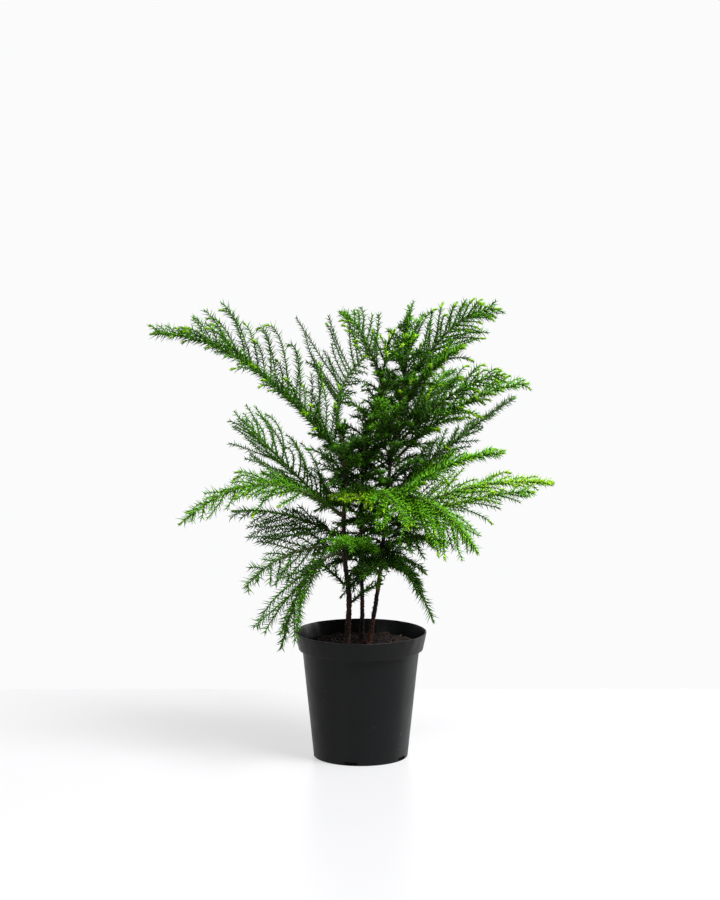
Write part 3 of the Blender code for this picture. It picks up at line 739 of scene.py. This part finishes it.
def scattered(soil, count, sizes, shape, seed):
    """Lumps spread over the potting mix: balls of 20 triangles, each with its size, stretch and dents.

    Places are r = rim sqrt(u), so that they are even over the disc, and each lump is sunk a third of its
    height in the surface.
    """
    bm = bmesh.new()
    bmesh.ops.create_icosphere(bm, subdivisions=1, radius=1)
    points = np.array([vert.co for vert in bm.verts])
    triangles = np.array([[vert.index for vert in face.verts] for face in bm.faces])
    bm.free()
    chance = np.random.default_rng(seed)
    radius = (SOIL_RIM - 3 * MM) * np.sqrt(chance.uniform(0, 1, count))
    place = polar(radius, chance.uniform(0, math.tau, count), 0)
    size = np.exp(chance.uniform(*np.log(sizes), (count, 1, 1)))
    stretch = np.array(shape) * chance.uniform(0.7, 1.3, (count, 1, 3))
    dents = chance.uniform(0.75, 1.2, (count, len(points), 1))
    made = (points * stretch * dents) @ random_turns(chance, count).transpose(0, 2, 1) * size
    place[:, 2] = soil_height(place, soil) + 0.35 * size[:, 0, 0] * min(shape)
    return copies(made + place[:, None], triangles)


class Stem:
    """One stem's centre line and radius by height."""

    def __init__(self, name):
        stations, foot, tip = STEMS[name]
        self.name = name
        self.foot, self.tip = foot * MM, tip * MM
        self.line = smooth_line(np.array(stations) * MM, STEM_POINTS)
        self.low, self.high = self.line[0, 2], self.line[-1, 2]

    def centre(self, height):
        """Points of the centre line at these heights."""
        height = np.asarray(height, float)
        x, y = (np.interp(height, self.line[:, 2], self.line[:, k]) for k in range(2))
        return np.stack([x, y, height], -1)

    def radius(self, height):
        """Even taper from foot to tip, plus a flare that fades by the exponential of the height."""
        share = np.clip((height - self.low) / (self.high - self.low), 0, 1)
        flare = FLARE * np.exp(-np.maximum(height - self.low, 0) / FLARE_HEIGHT)
        return self.foot + (self.tip - self.foot) * share + flare


def smooth_line(stations, count):
    """Points of the cubic curve through the stations, whose slope at each is half the step across it."""
    last = len(stations) - 1
    at = np.minimum(np.linspace(0, last, count), last - 1e-9)
    index = at.astype(int)
    u = (at - index)[:, None]
    a, b = stations[index], stations[index + 1]
    slope_a = (b - stations[np.maximum(index - 1, 0)]) / 2
    slope_b = (stations[np.minimum(index + 2, last)] - a) / 2
    return (
        a * (2 * u**3 - 3 * u**2 + 1) + slope_a * (u**3 - 2 * u**2 + u)
        + b * (3 * u**2 - 2 * u**3) + slope_b * (u**3 - u**2)
    )


class Bough:
    """The centre line of one bough or twig, and the frame that its branchlets stand in."""

    def __init__(self, stem, row):
        height, azimuth, *lengths, lift, roll = row[1:]
        self.reach, self.rise, self.arch, self.sweep, self.spread = (value * MM for value in lengths)
        turn, self.lift, self.roll = (math.radians(value) for value in (azimuth, lift, roll))
        self.out = np.array([math.cos(turn), math.sin(turn), 0])
        self.side = np.array([-math.sin(turn), math.cos(turn), 0])
        height *= MM
        along = unit(stem.centre(height + MM) - stem.centre(height - MM))
        square = unit(self.out - along * (self.out @ along))
        self.heart = stem.centre(height)
        self.start = self.heart + square * (stem.radius(height) + GAP + SHOULDER)
        steps = np.diff(self.point(np.linspace(0, 1, 21)), axis=0)
        self.length = float(np.linalg.norm(steps, axis=1).sum())

    def point(self, t):
        """Out by the reach and up by the rise, with parabolas 4 t (1 - t) times the arch and the sweep."""
        t = np.asarray(t, float)[..., None]
        bow = 4 * t * (1 - t)
        straight = self.start + self.out * ((self.reach - SHOULDER) * t)
        return straight + self.side * self.sweep * bow + UP * (self.rise * t + self.arch * bow)

    def frame(self, t, step=0.01):
        """Tangent, side and upper normal at t, the last two turned about the first by the roll."""
        tangent = unit(self.point(t + step) - self.point(t - step))
        side = unit(self.side - tangent * (self.side @ tangent))
        normal = np.cross(tangent, side)
        c, s = math.cos(self.roll), math.sin(self.roll)
        return tangent, side * c + normal * s, normal * c - side * s


def branchlet_path(origin, frame_at, side, reach, angle, curl, lift, sway, nod):
    """Points that leave the bough at the angle and bend back towards its own direction.

    Direction k is tangent cos(turn) + away sin(turn), with away tilted by the lift and the turn falling by
    the curl's share along the length. sway swings it sideways with the square of the way along, and nod
    bends its end down with the fourth power.
    """
    tangent, across, normal = frame_at
    away = across * (side * math.cos(lift)) + normal * math.sin(lift)
    count = max(4, round(reach / BRANCHLET_STEP))
    share = ((np.arange(count) + 0.5) / count)[:, None]
    turn = angle * (1 - curl * share)
    steps = tangent * np.cos(turn) + away * np.sin(turn)
    steps = steps + np.cross(tangent, away) * sway * share**2 - UP * nod * share**4
    steps = unit(steps) * (reach / count)
    return np.concatenate([origin[None], origin + np.cumsum(steps, axis=0)])


def clear_share(path, stems):
    """How much of a path comes before it would enter a stem, the pot or the potting mix."""
    hit = (path[:, 2] < POT_HEIGHT + CLEAR) & (np.hypot(path[:, 0], path[:, 1]) < LIP_RADIUS + CLEAR)
    for stem in stems:
        away = np.linalg.norm((path - stem.centre(path[:, 2]))[:, :2], axis=1)
        near = away < stem.radius(path[:, 2]) + STEM_CLEAR
        hit |= near & (path[:, 2] < stem.high + CLEAR)
    return float(np.argmax(hit)) / (len(path) - 1) if hit.any() else 1.0


def spray_twigs(look, bough, stems, foliage, chance):
    """The twigs of one spray: the line of its bough, whose wood is another piece, and branchlets in two
    rows."""
    shades, size, claws, pitch = LOOKS[look]
    count = max(8, round(bough.length / AXIS_STEP))
    core = bough.point(np.linspace(0, 1, count + 1))
    twigs = [Twig(core, bough.frame(0.5)[2], (0, 0), shades, 1.15 * size, 0, 1)]
    radii = foliage.twig, TWIG_TAPER * foliage.twig
    habit = HABITS.get(look, Habit())
    start = max(habit.bare, BARE_LEAST / bough.length)
    steps = max(2, round(bough.length * (ROW_END - start) / (pitch * MM)))
    for step in range(steps + 1):
        side = 1 if step % 2 else -1
        share = max(0, step + chance.uniform(-0.3, 0.3)) / steps
        t = start + (ROW_END - start) * share ** ROW_CROWD
        fall = (1 - LAST_LENGTH) * np.clip((t - habit.longest) / (habit.end - habit.longest), 0, 1)
        shape = min(1, habit.first + (1 - habit.first) * t / habit.longest) * (1 - fall)
        reach = bough.spread * shape * chance.uniform(*CHANCE_LENGTH) * habit.rows[side < 0]
        angle = math.radians(habit.angle) * chance.uniform(*CHANCE_ANGLE)
        lift = bough.lift + chance.uniform(-CHANCE_LIFT, CHANCE_LIFT)
        sway = chance.uniform(-CHANCE_SWAY, CHANCE_SWAY)
        claw = int(chance.uniform() < claws)
        nod = chance.uniform(*CHANCE_NOD) + CLAW_NOD * claw
        frame_at = bough.frame(t)
        path = branchlet_path(bough.point(t), frame_at, side, reach, angle, habit.curl, lift, sway, nod)
        twigs += kept(Twig(path, frame_at[2], radii, shades, size, 2 * MM, claw, t), reach, stems)
    return twigs


def kept(twig, reach, stems):
    """A list of the twig, cut short where it would touch, or an empty one if too little is left."""
    share = clear_share(twig.path[2:], stems)
    if share * reach < BRANCHLET_LEAST:
        return []
    if share < 1:
        twig = twig._replace(path=twig.path[:max(3, int(share * len(twig.path)))])
    return [twig]


def leader_twigs(stem, foliage, chance):
    """The tuft at a stem's tip: an upright core with short branchlets all round it."""
    shades, size, claws = LOOKS[f"{stem.name}_leader"]
    height, longest = (value * MM for value in LEADERS[stem.name])
    tip = stem.line[-1]
    axis = unit(tip - stem.line[-1 - TIP_STEPS])
    core = tip + axis * np.linspace(-LEADER_ROOT, height, 14)[:, None]
    across = unit(np.cross([1, 0, 0], axis))
    radii = foliage.twig, TWIG_TAPER * foliage.twig
    twigs = [Twig(core, across, (stem.tip, 0.6 * foliage.twig), shades, size, 0, 1)]
    for step, place in enumerate(np.linspace(*LEADER_ROW, LEADER_BRANCHLETS)):
        turn = step * GOLDEN_TURN
        side = across * math.cos(turn) + np.cross(axis, across) * math.sin(turn)
        angle = math.radians(Habit().angle) * chance.uniform(*CHANCE_ANGLE)
        reach = longest * (1 - LEADER_TAPER * place) * chance.uniform(*CHANCE_LENGTH)
        frame_at = axis, side, np.cross(axis, side)
        path = branchlet_path(tip + axis * height * place, frame_at, 1, reach, angle, Habit().curl, 0, 0, 0)
        claw = int(chance.uniform() < claws)
        twigs.append(Twig(path, frame_at[2], radii, shades, size, 0, claw))
    return twigs


def inner_boughs(stem, first_turn, foliage, chance):
    """Shoots all round the leafy part of a stem, between its boughs, shorter upwards: the lowest droop, and
    those from a quarter of the way up rise."""
    low, high, long, short = INNER_BAND[stem.name]
    count = round((high - low) * MM / foliage.inner_pitch)
    made = []
    for step in range(count):
        share = (step + 0.5) / count
        azimuth = first_turn + math.degrees(step * GOLDEN_TURN)
        reach = (long + (short - long) * share) * chance.uniform(0.5, 1)
        rise = reach * (min(0.5, 2 * share - 0.5) + chance.uniform(-0.25, 0.25))
        row = stem.name, low + (high - low) * share, azimuth, reach, rise, 6, 0, 0.45 * reach, 8, 0
        made.append(Bough(stem, row))
    return made


def leafy_stem(stem):
    """The upper part of a stem as a twig with no wood of its own, to carry needles on the bark."""
    path = stem.centre(np.arange(LEAFY, stem.high, 5 * MM))
    # Its needles take the darker shades, partly the darker green of old needles and partly painted shade
    # inside the crown.
    return Twig(path, AWAY, (0, 0), "deep deep mature", 0.85, 0, 0)


def grown(foliage):
    """Every twig of the plant, by spray, from the tables of boughs, twigs and leaders."""
    stems = {name: Stem(name) for name in STEMS}
    all_stems = stems.values()
    sprays = {}
    for number, (name, row) in enumerate(ROWS.items()):
        chance = np.random.default_rng(foliage.seed * 1000 + number)
        sprays[name] = spray_twigs(name, Bough(stems[row[0]], row), all_stems, foliage, chance)
    for number, (name, stem) in enumerate(stems.items()):
        chance = np.random.default_rng(foliage.seed * 2000 + number)
        sprays[f"{name}_leader"] = leader_twigs(stem, foliage, chance)
        inner = sprays.setdefault("inner", [])
        inner.append(leafy_stem(stem))
        for bough in inner_boughs(stem, 100 * number, foliage, chance):
            core, *branchlets = spray_twigs("inner", bough, all_stems, foliage, chance)
            inner += [core._replace(radii=(1.2 * foliage.twig, 0.6 * foliage.twig)), *branchlets]
    return sprays


def run_of(path):
    """Length along a path at each of its points."""
    return np.concatenate([[0], np.cumsum(np.linalg.norm(np.diff(path, axis=0), axis=1))])


def frames_of(path, up):
    """Tangent at each point, the direction nearest to up that is square to it, and the third axis."""
    tangent = unit(np.gradient(path, axis=0))
    normal = unit(up - tangent * (tangent @ up)[:, None])
    return tangent, normal, np.cross(tangent, normal)


def tube(path, up, radii, sides):
    """A round limb: a circle at each point, square to the path, skinned and closed at both ends.

    radii[i] is one radius for the whole circle at point i, or one for each of its sides.
    """
    tangent, normal, third = frames_of(path, up)
    turn = around(sides)[:, None]
    spokes = normal[:, None] * np.cos(turn) + third[:, None] * np.sin(turn)
    start = path[0] - tangent[0] * radii[0].mean() * 0.3
    return skin(path[:, None] + spokes * radii[..., None], start, path[-1] + tangent[-1] * radii[-1].mean())


def leaf_bases(run, turn, size):
    """Relief of old leaf bases, 0 to 1: the product of two crossing families of spiral ridges."""
    a = np.cos(3 * turn + run * math.tau / size)
    b = np.cos(5 * turn - run * math.tau / (0.8 * size))
    return np.clip(a, 0, 1) * np.clip(b, 0, 1)


def stem_shape(stem, heights_of_boughs, bark, sides=22):
    """A stem's bark: a tube whose radius is the stem's, plus leaf bases, lumps, and a swelling at each
    bough that falls off as the exponential of the squared height from it."""
    heights = np.arange(SOIL_TOP - 4 * MM, stem.high, 0.9 * MM)
    path = stem.centre(np.maximum(heights, stem.low))
    path[:, 2] = heights
    turn = around(sides)
    radii = stem.radius(heights)[:, None] + 0 * turn
    for height in heights_of_boughs:
        radii += 0.45 * MM * np.exp(-((heights - height) / (4 * MM)) ** 2)[:, None]
    radii += bark.relief * leaf_bases(heights[:, None], turn, 5 * MM)
    ring = polar(3 * MM, turn, heights[:, None])
    radii += bark.relief * 0.8 * waves(ring + path[:1], 4 * MM, len(stem.name))
    return tube(path, AWAY, radii, sides)


def stub_shape(stem, count, chance):
    """Dry needle bases: short spindles that stand out of the stem at random heights and turns."""
    heights = stem.low + (stem.high - stem.low) * chance.uniform(0.02, 0.98, count)
    out = polar(1, chance.uniform(0, math.tau, count), 0.45)
    foot = stem.centre(heights) + out * (stem.radius(heights)[:, None] - 0.4 * MM)
    tip = foot + (out + UP * 0.4) * chance.uniform(0.8, 2.6, (count, 1)) * MM
    return needle_shape(foot, tip, np.cross(out, UP), 1.0 * MM)


def bough_shape(bough, bark, sides=9):
    """A bough from the heart of its stem to its tip: a tapering tube with the relief of needle feet."""
    line = bough.point(np.linspace(0, 1, max(12, round(bough.length / (2 * MM)))))
    path = np.concatenate([[bough.heart + (bough.start - bough.heart) * 0.3], line])
    run = run_of(path)[:, None]
    share = run / run[-1]
    radii = (1.95 - 1.25 * share ** 0.8) * MM
    relief = bark.relief * (1 - 0.4 * share) * leaf_bases(run, around(sides), 4 * MM)
    return tube(path, bough.frame(0.5)[2], radii + relief, sides)


def needles_on(twig, foliage, chance):
    """Needles all round a twig: foot, tip, width direction and width of each, and its shade.

    Needle i stands at a turn of 137.5 degrees times i, along out sin(a) + forward cos(a) for its angle a
    with the twig. In a claw, the last few millimetres of a new shoot, the needles are crowded, short and
    lie forward.
    """
    run = run_of(twig.path)
    end = run[-1]
    claw = min(CLAW, 0.4 * end) if twig.claw else 0
    pitch = foliage.pitch * (1 if twig.radii[0] else AXIS_PITCH)
    at = np.concatenate([
        np.arange(twig.bare, end - claw, pitch),
        np.arange(end - claw, end - 0.5 * MM, 0.3 * foliage.pitch),
    ])
    count = len(at)
    at = at + chance.uniform(-0.4, 0.4, count) * foliage.pitch
    lines = (twig.path, *frames_of(twig.path, twig.up))
    place, forward, normal, third = (
        np.stack([np.interp(at, run, line[:, k]) for k in range(3)], -1) for line in lines
    )
    forward = unit(forward)
    turn = (np.arange(count) * GOLDEN_TURN + chance.uniform(-0.3, 0.3, count))[:, None]
    out = normal * np.cos(turn) + third * np.sin(turn)
    left = (end - at)[:, None]
    close = left < claw
    ending = np.clip(1 - left / (9 * MM), 0, 1)
    full = foliage.needle * twig.size * (1 - 0.35 * ending)
    long = np.where(close, CLAW_NEEDLE, full) * chance.uniform(0.65, 1.15, (count, 1))
    angle = np.where(close, CLAW_ANGLE, NEEDLE_ANGLE + (END_ANGLE - NEEDLE_ANGLE) * ending)
    angle = np.radians(angle + chance.uniform(-CHANCE_NEEDLE, CHANCE_NEEDLE, (count, 1)))
    tip = place + (out * np.sin(angle) + forward * np.cos(angle)) * long
    width = foliage.width * chance.uniform(0.8, 1.2, (count, 1))
    # The first shade, the darker in most sprays, goes on the needles near a branchlet's root and near the
    # stem, the next further out, and the last on the claws: partly the darker green of older needles and
    # partly painted shade inside the crown.
    share = at / end
    if twig.radii[0]:
        share = 0.5 * share + 0.6 * twig.place
    share = share + chance.uniform(-0.3, 0.3, count)
    shade = np.where(close[:, 0], 2, np.where(share > 0.55, 1, 0))
    return place, tip, np.cross(forward, out), width, shade


def needle_shape(foot, tip, across, width):
    """Needles as spindles of 5 points and 6 triangles: the foot, three points round the thickest place,
    and the tip. The thickest place lies off the straight line, so that the needle curves in."""
    across = unit(across)
    long = tip - foot
    inward = unit(np.cross(long, across))
    half = np.asarray(width) / 2
    middle = foot + NEEDLE_THICKEST * long
    middle = middle - inward * NEEDLE_CURVE * np.linalg.norm(long, axis=-1, keepdims=True)
    ring = [middle + across * half]
    ring += [middle + (inward * 0.85 * side - across * 0.5) * half for side in (1, -1)]
    faces = np.array([(2, 1, 0), (3, 2, 0), (1, 3, 0), (1, 2, 4), (2, 3, 4), (3, 1, 4)])
    return copies(np.stack([foot, *ring, tip], 1), faces)


def painted_floor(stage):
    """Pale paint, a little glossy, with a glow of its own."""
    material, *_ = new_material("Painted floor")
    return finish_with(
        material, base_color=rgba(stage.floor), roughness=0.35, specular_ior_level=0.2,
        emission_color=rgba(stage.wall), emission_strength=FLOOR_LIGHT,
    )


def studio_sky(stage):
    """Pale surroundings: what the camera sees is the wall's colour, and what lights the plant is a bright
    room that is darker in front and below."""
    world = bpy.data.worlds.new("studio")
    world.use_nodes = True
    tree = world.node_tree
    tree.nodes.clear()
    way = add(tree, "ShaderNodeTexCoord").outputs["Generated"]
    depth = add(tree, "ShaderNodeSeparateXYZ", vector=way).outputs["Y"]
    side = blend(tree, ramp(tree, depth, -0.95, -0.2), (0.05, 0.05, 0.053, 1), (0.17, 0.17, 0.17, 1))
    room = blend(tree, ramp(tree, depth, 0.1, 0.7), side, (0.8, 0.8, 0.8, 1))
    ray = add(tree, "ShaderNodeLightPath").outputs["Is Camera Ray"]
    light = add(tree, "ShaderNodeBackground", color=blend(tree, ray, room, rgba(stage.wall)), strength=1.0)
    add(tree, "ShaderNodeOutputWorld", surface=light.outputs[0])
    return world


def softbox(name, place, side, power):
    """A square light aimed at the middle of the plant."""
    data = bpy.data.lights.new(name, "AREA")
    data.size = side
    data.energy = power
    obj = new_object(name, data)
    obj.location = place
    obj.rotation_euler = (PLANT_MIDDLE - obj.location).to_track_quat("-Z", "Y").to_euler()


class PINE_OT_pot(Operator):
    """Turn the moulded pot and cut its drain slots"""

    bl_idname = "pine.pot"
    bl_label = "Pot"

    def execute(self, context):
        pot = context.scene.pine_pot
        cut_slots(piece("pot_shell", pot_shape(pot), moulded_polypropylene(pot), ["pot"]))
        return {"FINISHED"}


class PINE_OT_soil(Operator):
    """Fill the pot with potting mix and strew crumbs and bark chips on it"""

    bl_idname = "pine.soil"
    bl_label = "Potting mix"

    def execute(self, context):
        soil = context.scene.pine_soil
        peat = moist_peat(soil)
        piece("potting_mix", soil_shape(soil), peat, ["soil"])
        crumbs = scattered(soil, soil.crumbs, (0.7 * MM, 2.4 * MM), (1, 0.9, 0.75), 31)
        piece("peat_crumbs", crumbs, peat, smooth=False)
        chips = scattered(soil, soil.chips, (1.2 * MM, 3.4 * MM), (1.5, 0.7, 0.35), 32)
        piece("bark_chips", chips, composted_bark(soil), smooth=False)
        return {"FINISHED"}


class PINE_OT_stems(Operator):
    """Clothe the three stems in bark, with the dry stubs of old needles"""

    bl_idname = "pine.stems"
    bl_label = "Stems"

    def execute(self, context):
        bark = context.scene.pine_bark
        material = thin_bark(bark)
        stubs = []
        for number, name in enumerate(STEMS):
            stem = Stem(name)
            boughs = [row[1] * MM for row in ROWS.values() if row[0] == name]
            piece(f"stem_{name}_bark", stem_shape(stem, boughs, bark), material, [f"stem_{name}"])
            stubs.append(stub_shape(stem, bark.stubs, np.random.default_rng(70 + number)))
        piece("needle_stubs", joined(stubs), material)
        return {"FINISHED"}


class PINE_OT_boughs(Operator):
    """Grow the boughs out of the stems, each to the tip of its spray"""

    bl_idname = "pine.boughs"
    bl_label = "Boughs"

    def execute(self, context):
        bark = context.scene.pine_bark
        shapes = [bough_shape(Bough(Stem(row[0]), row), bark) for row in ROWS.values()]
        piece("boughs", joined(shapes), young_bark(bark), [f"bough_{name}" for name in BOUGHS])
        return {"FINISHED"}


class PINE_OT_twigs(Operator):
    """Grow the branchlets of every spray"""

    bl_idname = "pine.twigs"
    bl_label = "Twigs"

    def execute(self, context):
        foliage = context.scene.pine_foliage
        sprays = grown(foliage)
        woody = [twig for twigs in sprays.values() for twig in twigs if twig.radii[0]]
        shapes = [
            tube(twig.path, twig.up, np.linspace(*twig.radii, len(twig.path))[:, None], TWIG_SIDES)
            for twig in woody
        ]
        stalk = needle_cuticle("Green twig bark", foliage.stalk)
        nodes = [f"spray_{name}" for name in sprays if f"spray_{name}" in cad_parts]
        piece("twigs", joined(shapes), stalk, nodes)
        return {"FINISHED"}


class PINE_OT_needles(Operator):
    """Set needles all round every twig, and join them by shade"""

    bl_idname = "pine.needles"
    bl_label = "Needles"

    def execute(self, context):
        foliage = context.scene.pine_foliage
        shades = defaultdict(list)
        for number, twigs in enumerate(grown(foliage).values()):
            chance = np.random.default_rng(foliage.seed * 3000 + number)
            for twig in twigs:
                *parts, shade = needles_on(twig, foliage, chance)
                for index, name in enumerate(twig.shades.split()):
                    if (shade == index).any():
                        shades[name].append([part[shade == index] for part in parts])
        for shade, parts in shades.items():
            material = needle_cuticle(f"Needle skin, {shade}", getattr(foliage, shade))
            parts = [np.concatenate(part) for part in zip(*parts)]
            count = math.ceil(len(parts[0]) / NEEDLES_A_PIECE)
            for number in range(count):
                shape = needle_shape(*(part[number::count] for part in parts))
                piece(f"needles_{shade}_{number + 1}", shape, material, smooth=False)
        return {"FINISHED"}


class PINE_OT_stage(Operator):
    """Set the pale floor, the soft light and the camera"""

    bl_idname = "pine.stage"
    bl_label = "Stage"

    def execute(self, context):
        scene = context.scene
        stage = scene.pine_stage
        scene.view_settings.view_transform = "Standard"
        mesh = bpy.data.meshes.new("floor")
        mesh.from_pydata(FLOOR, [], [(0, 1, 2, 3)])
        mesh.materials.append(painted_floor(stage))
        floor = new_object("floor", mesh)
        scene.world = studio_sky(stage)
        for name, values in SOFTBOXES.items():
            softbox(name, *values)
        camera = new_object("camera", bpy.data.cameras.new("camera"))
        camera.data.lens = stage.lens
        camera.location = (-MM, -stage.distance, stage.height)
        camera.rotation_euler = (math.pi / 2 - stage.pitch, 0, 0)
        scene.camera = camera
        return {"FINISHED"}


class PINE_PT_panel(Panel):
    """The pine's settings and the operators that make its pieces"""

    bl_label = "Norfolk Island Pine"
    bl_idname = "PINE_PT_panel"
    bl_space_type = "VIEW_3D"
    bl_region_type = "UI"
    bl_category = "Pine"

    def draw(self, context):
        for group, (_, *operators) in GROUPS.items():
            box = self.layout.box()
            for operator in operators:
                box.operator(operator.bl_idname)
            settings = getattr(context.scene, group)
            for name in settings.__annotations__:
                box.prop(settings, name)


GROUPS = {
    "pine_pot": (PotSettings, PINE_OT_pot),
    "pine_soil": (SoilSettings, PINE_OT_soil),
    "pine_bark": (BarkSettings, PINE_OT_stems, PINE_OT_boughs),
    "pine_foliage": (FoliageSettings, PINE_OT_twigs, PINE_OT_needles),
    "pine_stage": (StageSettings, PINE_OT_stage),
}
CLASSES = (*(part for group in GROUPS.values() for part in group), PINE_PT_panel)


def register():
    for part in CLASSES:
        bpy.utils.register_class(part)
    for name, (settings, *_) in GROUPS.items():
        setattr(bpy.types.Scene, name, PointerProperty(type=settings))


def unregister():
    for name in GROUPS:
        delattr(bpy.types.Scene, name)
    for part in reversed(CLASSES):
        bpy.utils.unregister_class(part)


def main():
    register()
    for _, *operators in GROUPS.values():
        for operator in operators:
            getattr(bpy.ops.pine, operator.bl_idname.removeprefix("pine."))()


if __name__ == "__main__":
    main()
